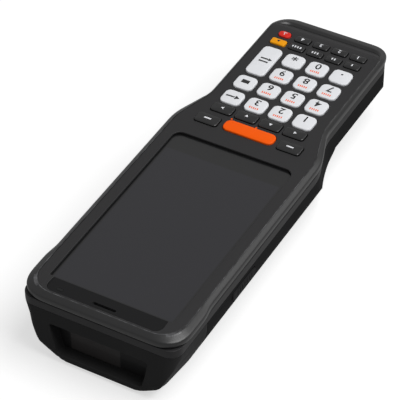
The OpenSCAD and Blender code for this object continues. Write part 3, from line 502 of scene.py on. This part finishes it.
# The reader glass's lighter grey inside is a painted reflection: a dull grey base colour in place
# of the bright surroundings that the dark glass mirrors.
finish["reader_glass"] = printed_glass(
    "reader_glass", (0.014, 0.014, 0.0145), (0.045, 0.042, 0.042), PORT_CENTRE, PORT_HALF,
    roughness=0.5, coat=0.08, specular=0.15,
)
print("all", len(finish), "finishes:", ", ".join(sorted(finish)))

# %% [markdown]
# ## Rounding the hard edges
#
# A CAD solid has mathematically sharp edges, which no mould can make and which never catch
# the light. The shells keep their exact shape from the CAD model: a copy of the node is
# merged into one skin, its flat faces are joined, and every sharp edge is bevelled by a few
# tenths of a millimetre. The bevel's faces get a mark that the finish reads as polish. Large
# flat faces with many openings are first cut into strips, which keeps their shading even.

# %% Turning a bmesh into a piece
SMOOTH_BELOW = 40


def as_piece(bm, name, body, slot, smooth_below=SMOOTH_BELOW):
    """A piece with its finish, on its body: faces that meet at less than this angle look smooth"""
    mesh = bpy.data.meshes.new(name)
    bm.to_mesh(mesh)
    bm.free()
    piece = bpy.data.objects.new(name, mesh)
    scene.collection.objects.link(piece)
    mesh.materials.append(finish[slot])
    mesh.shade_smooth()
    mesh.set_sharp_from_angle(angle=math.radians(smooth_below))
    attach(piece, body)
    return piece


def stand_in(bm, node, ending):
    """A piece that takes the place of a CAD node, with the node's own body and slot"""
    piece = as_piece(bm, f"{node}_{ending}", bodies_of[node], slot_of[node])
    piece.modifiers.new("even shading", "WEIGHTED_NORMAL").keep_sharp = True
    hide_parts(node)
    return piece


# %% Merging, cutting and bevelling
SAME_PLACE = 0.002 * MM
ON_THE_CUT = 0.001 * MM
AXES = {"X": Vector((1, 0, 0)), "Y": Vector((0, 1, 0)), "Z": Vector((0, 0, 1))}


def skin_of(node):
    """A copy of a node's loose triangles, merged into one skin"""
    bm = bmesh.new()
    bm.from_mesh(nodes[node].data)
    bmesh.ops.remove_doubles(bm, verts=bm.verts, dist=SAME_PLACE)
    return bm


def slice_through(bm, point, across):
    """Cuts every face that the plane through this point crosses"""
    everything = bm.verts[:] + bm.edges[:] + bm.faces[:]
    bmesh.ops.bisect_plane(bm, geom=everything, dist=ON_THE_CUT, plane_co=point, plane_no=across)


def cut(bm, planes):
    """Cuts at planes that are given as an axis and the places on it in millimetres"""
    for axis, places in planes:
        for place in places:
            slice_through(bm, AXES[axis] * place * MM, AXES[axis])


def bevelled(bm, edges, width, segments):
    """Rounds these edges and returns the new faces"""
    return bmesh.ops.bevel(
        bm, geom=edges, offset=width, offset_type="OFFSET", affect="EDGES", segments=segments,
        profile=0.5, material=-1, clamp_overlap=False,
    )["faces"]


# %% A rounded copy of a node
CUTS = {
    "front_housing": (
        ("Y", (-92.3, -85.9, -76, -63.9, -51.8, -39.7, -30.6, -21.9, 10, 47, 80)), ("X", (0,)),
    ),
    "head_cap": (("X", (-12, 0, 12)), ("Z", (10,))),
}
STILL_FLAT = math.radians(0.5)
HARD_EDGE = math.radians(50)
EDGE_SEGMENTS = 2
STRIP_CORNER, STRIP_CORNER_BOTTOM = Vector((26.95, 97.05)) * MM, 35 * MM
STRIP_CORNER_SIZE, STRIP_CORNER_MERGED = 0.3 * MM, 0.5 * MM


def at_strip_corner(place):
    """The tiny corner where the display opening meets the receiver strip's narrower recess"""
    away = Vector((abs(place.x), place.y)) - STRIP_CORNER
    return place.z > STRIP_CORNER_BOTTOM and away.length < STRIP_CORNER_SIZE


def rounded_copy(node, width):
    """A copy of a CAD node whose hard edges are rounded over this width in millimetres"""
    bm = skin_of(node)
    if node == "front_housing":
        # the corner is smaller than the bevel, which would fold over there
        corner = [v for v in bm.verts if at_strip_corner(v.co)]
        bmesh.ops.remove_doubles(bm, verts=corner, dist=STRIP_CORNER_MERGED)
    bmesh.ops.dissolve_limit(bm, angle_limit=STILL_FLAT, verts=bm.verts, edges=bm.edges)
    cut(bm, CUTS.get(node, ()))
    hard = [e for e in bm.edges if e.is_manifold and e.calc_face_angle() > HARD_EDGE]
    new_faces = bevelled(bm, hard, width * MM, EDGE_SEGMENTS)
    mark = bm.faces.layers.float.new("rounded_edge_and_rim_highlight")
    for face in new_faces:
        if face.is_valid:
            face[mark] = 1.0
    return bm


# %% [markdown]
# ## Shaping the reader's end
#
# The end cap is not a straight box. Its sides draw in towards the reader, and its two lower
# corners are cut back, so that the terminal can be tilted on its end. Both are smooth pushes
# of the vertices: after the flat faces are cut into strips, each vertex moves inwards by an
# amount that grows towards the end and fades out where the cap meets its neighbours. The
# lower lip of the mouth rises a little as well, which makes the sunk mouth shallower.

# %% The cap's taper and its cut corners
CAP_STRIPS = (
    ("Y", (84.1, 88, 92, 96, 100, 104)),
    ("X", (-32, -28, -24, -20, -16, 16, 20, 24, 28, 32)),
    ("Z", (2, 4, 6, 8.5, 12, 16, 20.7, 24)),
)
CORNER_STRIPS = (84, 86, 88, 90, 92, 94, 96)
CAP_STARTS, CAP_ENDS, CAP_TOP = 84.1 * MM, 108.6 * MM, 28 * MM
SIDE_FOOT, SIDE_MOST, SIDE_KNEE = 27.2 * MM, 36.9 * MM, 20.7 * MM
DRAWN_IN, SIDE_BAND = 2.3 * MM, 9 * MM
CORNER_CUT, CORNER_RISE, CORNER_BAND = 88.5 * MM, 1.2, 2.5 * MM
MOUTH_FLOOR, MOUTH_BACK, MOUTH_RIM = 3 * MM, 101 * MM, 0.4 * MM
MOUTH_HALF, MOUTH_FLARE = 20.7 * MM, 0.194
MOUTH_RISE, LIP_RAISED = 9 * MM, 1.8 * MM


def clamped(value):
    return min(max(value, 0), 1)


def raise_lip(place):
    """Lifts the mouth's lower lip, most at its floor and not at all at its top"""
    rise = place.z - MOUTH_FLOOR
    inside = abs(place.x) < MOUTH_HALF + rise * MOUTH_FLARE
    if place.y > MOUTH_BACK and rise > -MOUTH_RIM and inside:
        place.z += LIP_RAISED * clamped(1 - rise / MOUTH_RISE)


def draw_side_in(place):
    """Moves a side inwards, more towards the reader's end and less near the cap's top"""
    outer = SIDE_FOOT + (SIDE_MOST - SIDE_FOOT) * clamped(place.z / SIDE_KNEE)
    share = clamped((abs(place.x) - outer + SIDE_BAND) / SIDE_BAND)
    along = clamped((place.y - CAP_STARTS) / (CAP_ENDS - CAP_STARTS))
    fade = clamped((CAP_TOP - place.z) / (CAP_TOP - SIDE_KNEE))
    place.x -= math.copysign(1, place.x) * DRAWN_IN * share * along * fade


def push_corner_back(place):
    """Flattens a lower corner along a slanting plane, with a soft start over a narrow band"""
    limit = CORNER_CUT + CORNER_RISE * place.z
    beyond = max((abs(place.x) + place.y) / math.sqrt(2) - limit + CORNER_BAND, 0)
    push = beyond - CORNER_BAND * (1 - math.exp(-beyond / CORNER_BAND))
    place.x -= math.copysign(1, place.x) * push / math.sqrt(2)
    place.y -= push / math.sqrt(2)


def shape_cap(bm):
    """Cuts the cap's flat faces into strips, and then pushes each vertex to its place"""
    cut(bm, CAP_STRIPS)
    for side in (-1, 1):
        for far in CORNER_STRIPS:
            slice_through(bm, (0, far * math.sqrt(2) * MM, 0), (side, 1, 0))
    for v in bm.verts:
        raise_lip(v.co)
        draw_side_in(v.co)
        push_corner_back(v.co)


# %% [markdown]
# ## Grooves for the fingers
#
# A finger needs a hold on each part that it pulls or slides: the battery pack, its latch and
# the scan buttons in the sides. The mould gives them short grooves with sloped walls. The
# face is cut along each groove's outline, and those strips are inset and pushed inwards.


# %% The middle of a node
def middle_of(node):
    """The middle of a node's box, in millimetres"""
    low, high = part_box(node)
    return (low + high) / 2 / MM


# %% Grooves
SAME_WAY = 0.99


def add_grooves(
    bm, node, facing, long_axis, start, step, count, half_long, half_wide, deep, slope=0.2,
):
    """Sinks a row of grooves into the flat face that faces this way. The row runs along Y"""
    centres = [start + step * i for i in range(count)]
    way = "XYZ".index(long_axis)
    middle = middle_of(node)[way]
    ends = (middle - half_long, middle + half_long)
    cut(bm, (("Y", [c + side * half_wide for c in centres for side in (-1, 1)]), (long_axis, ends)))
    strips = []
    for face in bm.faces:
        place = face.calc_center_median() / MM
        if face.normal.dot(Vector(facing)) > SAME_WAY and ends[0] < place[way] < ends[1]:
            strips += [face for c in centres if abs(place.y - c) < half_wide]
    bmesh.ops.inset_region(
        bm, faces=strips, thickness=slope * MM, depth=-deep * MM, use_even_offset=True,
    )
    print(node, count, "grooves")


DOWN = {"facing": (0, 0, -1), "long_axis": "X"}
BUTTON_GRIP = {
    "long_axis": "Z", "start": middle_of("left_scan_button").y - 6, "step": 2, "count": 7,
    "half_long": 1.2, "half_wide": 0.4, "deep": 0.25, "slope": 0.12,
}
GRIPS = {
    "battery_pack": {
        **DOWN, "start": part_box("battery_pack")[0].y / MM + 7, "step": 3.2, "count": 4,
        "half_long": 15, "half_wide": 0.7, "deep": 0.6,
    },
    "battery_latch": {
        **DOWN, "start": middle_of("battery_latch").y - 1.8, "step": 1.8, "count": 3,
        "half_long": 4.5, "half_wide": 0.5, "deep": 0.35,
    },
    "left_scan_button": {"facing": (-1, 0, 0), **BUTTON_GRIP},
    "right_scan_button": {"facing": (1, 0, 0), **BUTTON_GRIP},
}

# %% [markdown]
# ## The finished shells
#
# A housing's mould is rounded by a quarter of a millimetre or more, and a rubber button by
# twice that. The glasses, the strip and the metal connector keep nearly sharp edges. The
# cap's copy then gets its taper and the gripped parts get their grooves, and each copy
# takes the place of its node.

# %% Soften the shells
ROUNDING = {
    "front_housing": 0.25, "rear_housing": 0.35, "head_cap": 0.35, "receiver_strip": 0.08,
    "touch_glass": 0.1, "battery_pack": 0.4, "battery_latch": 0.3, "io_connector": 0.08,
    "left_scan_button": 0.5, "right_scan_button": 0.5, "scan_window": 0.1,
}
shells = {}
for node, width in ROUNDING.items():
    skin = rounded_copy(node, width)
    if node == "head_cap":
        shape_cap(skin)
    if node in GRIPS:
        add_grooves(skin, node, **GRIPS[node])
    shells[node] = stand_in(skin, node, "shell")
    print(shells[node].name, len(shells[node].data.polygons), "faces")

# %% [markdown]
# ## The rubber bumper
#
# The bumper is soft rubber moulded round the frame, so it has no sharp edge except where it
# meets the hard plastic. Its solid is a ring of flat facets. Joined into a grid of quads and
# subdivided, the same ring becomes one smooth skin. Only the two edges beside the frame are
# creased, and the long shoulder a little, so that its bevel stays crisp where it catches light.

# %% Bumper
RIM_DEEP, RIM_FLAT = 0.3 * MM, 0.97
MOST_BEND, MOST_SKEW = math.radians(30), math.radians(80)
CREASED_ABOVE = {math.radians(70): 1.0, math.radians(36): 0.4}
BUMPER_SMOOTH_BELOW = 60
SUBDIVISIONS = 2


def crease_of(edge):
    """How sharp an edge stays: 1 beside the hard plastic, less on the shoulder, 0 elsewhere"""
    angle = edge.calc_face_angle(0)
    return next((sharp for limit, sharp in CREASED_ABOVE.items() if angle > limit), 0.0)


bm = skin_of("bumper_band")
bmesh.ops.join_triangles(
    bm, faces=bm.faces, angle_face_threshold=MOST_BEND, angle_shape_threshold=MOST_SKEW,
)
crease = bm.edges.layers.float.new("crease_edge")
for edge in bm.edges:
    edge[crease] = crease_of(edge)
# The thin flat ring at the bumper's top, beside the frame, gets the edge mark too, so the finish
# paints it lighter: a painted highlight along the rim.
mark = bm.faces.layers.float.new("rounded_edge_and_rim_highlight")
rim_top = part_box("bumper_band")[1].z
for face in bm.faces:
    at_top = face.calc_center_median().z > rim_top - RIM_DEEP
    face[mark] = float(at_top and face.normal.z > RIM_FLAT)
print("bumper:", sum(len(f.verts) == 4 for f in bm.faces), "quads of", len(bm.faces), "faces")
bumper = as_piece(
    bm, "bumper_skin", bodies_of["bumper_band"], slot_of["bumper_band"], BUMPER_SMOOTH_BELOW,
)
smoother = bumper.modifiers.new("smooth rubber", "SUBSURF")
smoother.levels = smoother.render_levels = SUBDIVISIONS
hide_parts("bumper_band")

# %% [markdown]
# ## Keys
#
# Each key is a hard cap on a soft dome. A flange hides under the housing and stops the cap
# from falling out. The cap itself is a low pillow: a rounded rectangle with a soft rim and a
# slightly raised middle, so that a finger finds it. A cube becomes such a cap in four steps:
# bevel the upright edges, inset and extrude the top to leave the flange, bevel the rim, and
# inset the top a few more times while it is lifted a little.

# %% One key cap
FLANGE_STEP, FLANGE_THICK = 0.6 * MM, 0.8 * MM
CORNER_SEGMENTS, RIM_SEGMENTS = 7, 4
RIM, CROWN = 0.55 * MM, 0.22 * MM
CROWN_STEPS, CROWN_SHRINK = 4, 0.8
UPRIGHT_SHARE = 0.9


def box_between(bm, low, high):
    """Adds a box between two corners"""
    size = Vector(high) - Vector(low)
    middle = (Vector(high) + Vector(low)) / 2
    place = Matrix.Translation(middle) @ Matrix.Diagonal((*size, 1))
    bmesh.ops.create_cube(bm, size=1, matrix=place)


def upright(edge):
    rise = abs(edge.verts[0].co.z - edge.verts[1].co.z)
    return rise > UPRIGHT_SHARE * edge.calc_length()


def crown(bm, top, middle, shoulder):
    """Insets the top towards its middle in steps, each a little higher, so that it bulges"""
    for step in range(1, CROWN_STEPS + 1):
        before = 1 - CROWN_SHRINK * (step - 1) / CROWN_STEPS
        share = 1 - CROWN_SHRINK * step / CROWN_STEPS
        bmesh.ops.inset_region(bm, faces=[top], thickness=0)
        shrink = Matrix.Diagonal((share / before, share / before, 1, 1))
        bmesh.ops.transform(bm, verts=top.verts, matrix=middle @ shrink @ middle.inverted())
        for v in top.verts:
            v.co.z = shoulder + CROWN * (1 - share**2)


def key_cap(node, corner):
    """A pillow-shaped cap on its flange, with corners of this radius in millimetres"""
    low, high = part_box(node)
    bm = bmesh.new()
    box_between(bm, low, (high.x, high.y, low.z + FLANGE_THICK))
    corners = [e for e in bm.edges if upright(e)]
    bevelled(bm, corners, corner * MM + FLANGE_STEP, CORNER_SEGMENTS)
    top = max(bm.faces, key=lambda f: f.calc_center_median().z)
    bmesh.ops.inset_region(bm, faces=[top], thickness=FLANGE_STEP, depth=0)
    risen = bmesh.ops.extrude_face_region(bm, geom=[top])
    bmesh.ops.delete(bm, geom=[top], context="FACES_ONLY")
    top = next(f for f in risen["geom"] if isinstance(f, bmesh.types.BMFace))
    shoulder = high.z - CROWN
    bmesh.ops.translate(bm, verts=top.verts, vec=(0, 0, shoulder - low.z - FLANGE_THICK))
    bevelled(bm, list(top.edges), RIM, RIM_SEGMENTS)
    top = max(bm.faces, key=lambda f: (round(f.calc_center_median().z, 6), f.calc_area()))
    crown(bm, top, Matrix.Translation((low + high) / 2), shoulder)
    bmesh.ops.recalc_face_normals(bm, faces=bm.faces)
    return stand_in(bm, node, "cap")


# %% All the keys
SMALL_CORNER = 0.9
KEY_CORNERS = {
    "white_key": 2.6, "black_key": 1.3, "orange_key": 2.8, "amber_key": SMALL_CORNER,
    "red_key": 1.7,
}
caps = {}
for node, slot in slot_of.items():
    if slot in KEY_CORNERS:
        small = node.startswith(("edit", "function"))
        caps[node] = key_cap(node, SMALL_CORNER if small else KEY_CORNERS[slot])
print(len(caps), "key caps")

# %% [markdown]
# ## Signs on the keys
#
# The signs are pad-printed: a soft stamp lays a film of ink on the curved cap. Each sign
# starts as a flat outline, either a digit of the built-in font or a few polygons. It is cut
# into small pieces so that it can bend, each vertex drops onto the cap below it, and the film
# stands a few hundredths of a millimetre proud of the cap. The digits are plain, and the
# other keys have bars and arrows of no particular make. Two dots lie on the frame itself.


# %% Flat outlines, with places and sizes in millimetres
def at(x, y):
    return Matrix.Translation(Vector((x, y, 0)) * MM)


def bar(bm, x, y, wide, high):
    place = at(x, y) @ Matrix.Diagonal((wide * MM, high * MM, 1, 1))
    bmesh.ops.create_grid(bm, x_segments=1, y_segments=1, size=0.5, matrix=place)


def arrow(bm, x, y, radius, degrees):
    """A triangle that points the way these degrees say, from +X"""
    place = at(x, y) @ Matrix.Rotation(math.radians(degrees - 90), 4, "Z")
    bmesh.ops.create_circle(bm, cap_ends=True, segments=3, radius=radius * MM, matrix=place)


def dot(bm, x, y, radius):
    bmesh.ops.create_circle(bm, cap_ends=True, segments=16, radius=radius * MM, matrix=at(x, y))


# %% Outlines of digits
PEN_WIDENS = 0.015
CURVE_STEPS = 3


def letters(bm, text, x, y, size):
    """Adds the outline of this text, centred here"""
    curve = bpy.data.curves.new("outline", "FONT")
    curve.body = text
    curve.size = size * MM
    curve.offset = PEN_WIDENS * size * MM
    curve.resolution_u = CURVE_STEPS
    writing = bpy.data.objects.new("outline", curve)
    scene.collection.objects.link(writing)
    mesh = writing.to_mesh()
    across = [v.co.x for v in mesh.vertices]
    up = [v.co.y for v in mesh.vertices]
    middle = Vector(((min(across) + max(across)) / 2, (min(up) + max(up)) / 2, 0))
    mesh.transform(Matrix.Translation(Vector((x, y, 0)) * MM - middle))
    bm.from_mesh(mesh)
    writing.to_mesh_clear()
    bpy.data.objects.remove(writing)


# %% From an outline to a film of ink
INK_UP, INK_DOWN = 0.035 * MM, 0.06 * MM
INK_GRID = 0.8 * MM
ABOVE_ALL = 0.05


def surface_of(piece):
    """A piece's surface, for finding what lies below a point"""
    skin = bmesh.new()
    skin.from_mesh(piece.data)
    surface = BVHTree.FromBMesh(skin)
    skin.free()
    return surface


def printed(name, under, body, slot, draw):
    """A film of ink that lies on the piece called under: draw adds its flat outline"""
    bm = bmesh.new()
    draw(bm)
    bmesh.ops.remove_doubles(bm, verts=bm.verts, dist=SAME_PLACE)
    spans = [
        (axis, min(v.co[i] for v in bm.verts), max(v.co[i] for v in bm.verts))
        for i, axis in enumerate("XY")
    ]
    for axis, low, high in spans:
        for step in range(1, math.ceil((high - low) / INK_GRID)):
            slice_through(bm, AXES[axis] * (low + step * INK_GRID), AXES[axis])
    surface = surface_of(under)
    for v in bm.verts:
        below = surface.ray_cast(Vector((v.co.x, v.co.y, ABOVE_ALL)), -AXES["Z"])[0]
        v.co.z = below.z + INK_UP
    lower = bmesh.ops.extrude_face_region(bm, geom=bm.faces[:])["geom"]
    foot = [v for v in lower if isinstance(v, bmesh.types.BMVert)]
    bmesh.ops.translate(bm, verts=foot, vec=(0, 0, -INK_UP - INK_DOWN))
    bmesh.ops.recalc_face_normals(bm, faces=bm.faces)
    return as_piece(bm, name, body, slot)


def print_key(node, label, slot, draw):
    """Prints a sign on a key's cap: draw is told the bmesh and the key's middle"""
    centre = middle_of(node)
    return printed(
        f"{node}_{label}", caps[node], bodies_of[node], slot,
        lambda bm: draw(bm, centre.x, centre.y),
    )


# %% Signs made of bars and arrows
MARK_UP, MARK_STEP = 2.6, 0.95
MARK_WIDE, MARK_HIGH = 0.5, 1.15


def colour_mark(bm, x, y):
    for step in range(-2, 3):
        bar(bm, x + step * MARK_STEP, y + MARK_UP, MARK_WIDE, MARK_HIGH)


def clear_mark(bm, x, y):
    arrow(bm, x - 2.0, y, 1.5, 180)
    bar(bm, x + 1.2, y, 4.2, 0.9)


def mode_mark(bm, x, y):
    bar(bm, x, y - 0.2, 3.8, 2.4)


def enter_mark(bm, x, y):
    bar(bm, x, y + 1.0, 4.6, 0.9)
    bar(bm, x + 0.4, y - 1.2, 3.8, 0.9)
    arrow(bm, x - 2.2, y - 1.2, 1.2, 180)


def shift_mark(bm, x, y):
    arrow(bm, x, y - 0.2, 1.0, 90)


def power_mark(bm, x, y):
    bar(bm, x, y + 0.35, 0.4, 1.1)
    bar(bm, x, y - 0.75, 1.8, 0.4)


def soft_mark(bm, x, y):
    bar(bm, x, y, 3.4, 0.8)


# %% Digits and their colour marks
DIGITS = {f"digit_key_{n}": str(n) for n in range(10)}
POINTS = {"point_key": ".", "star_key": "*"}
DIGIT_DOWN = 1.5
DIGIT_SIZE, POINT_SIZE = 5.7, 7
UNMARKED = ("digit_key_1", *POINTS)

signs = []
for node, text in (DIGITS | POINTS).items():
    size = POINT_SIZE if node in POINTS else DIGIT_SIZE
    signs.append(print_key(
        node, "sign", "black_key", lambda bm, x, y: letters(bm, text, x, y - DIGIT_DOWN, size),
    ))
    if node not in UNMARKED:
        signs.append(print_key(node, "mark", "orange_key", colour_mark))
print(len(signs), "digits and colour marks")

# %% The other keys' signs
ON_WHITE = {"clear_key": clear_mark, "mode_key": mode_mark, "enter_key": enter_mark}
ARROWS = {"left": 180, "up": 90, "down": 270, "right": 0}
ARROW_SIZE, FUNCTION_SIZE = 0.95, 3.0
EDIT_STEP, EDIT_WIDE, EDIT_HIGH = 0.65, 0.6, 1.4


def edit_mark(bm, x, y, number):
    for step in range(1 - number, number, 2):
        bar(bm, x + EDIT_STEP * step, y, EDIT_WIDE, EDIT_HIGH)


for node, draw in ON_WHITE.items():
    signs.append(print_key(node, "sign", "black_key", draw))
for side in ("left", "right"):
    signs.append(print_key(f"soft_key_{side}", "sign", "white_key", soft_mark))
for way, degrees in ARROWS.items():
    signs.append(print_key(
        f"arrow_key_{way}", "sign", "white_key",
        lambda bm, x, y: arrow(bm, x, y, ARROW_SIZE, degrees),
    ))
for number in range(1, 5):
    signs.append(print_key(
        f"function_key_{number}", "sign", "white_key",
        lambda bm, x, y: letters(bm, str(number), x, y, FUNCTION_SIZE),
    ))
    signs.append(print_key(
        f"edit_key_{number}", "sign", "white_key", lambda bm, x, y: edit_mark(bm, x, y, number),
    ))
signs.append(print_key("shift_key", "sign", "black_key", shift_mark))
signs.append(print_key("power_key", "sign", "white_key", power_mark))

# %% Two dots on the frame
FRAME_DOTS = ((11.3, -26.5), (-1.1, -26.3))
FRAME_DOT_RADIUS = 0.45

for i, (x, y) in enumerate(FRAME_DOTS, start=1):
    signs.append(printed(
        f"frame_dot_{i}", shells["front_housing"], bodies_of["front_housing"], "orange_key",
        lambda bm: dot(bm, x, y, FRAME_DOT_RADIUS),
    ))
print(len(signs), "printed signs")

# %% [markdown]
# ## The other CAD parts
#
# Parts inside the housing and small metal parts already have the right shape. They only
# get their finish, in place of the plain material that the import gave them.

# %% Dress the remaining nodes
for name, node in nodes.items():
    node.data.materials.clear()
    node.data.materials.append(finish[slot_of[name]])
print(len(nodes), "nodes have their finish")
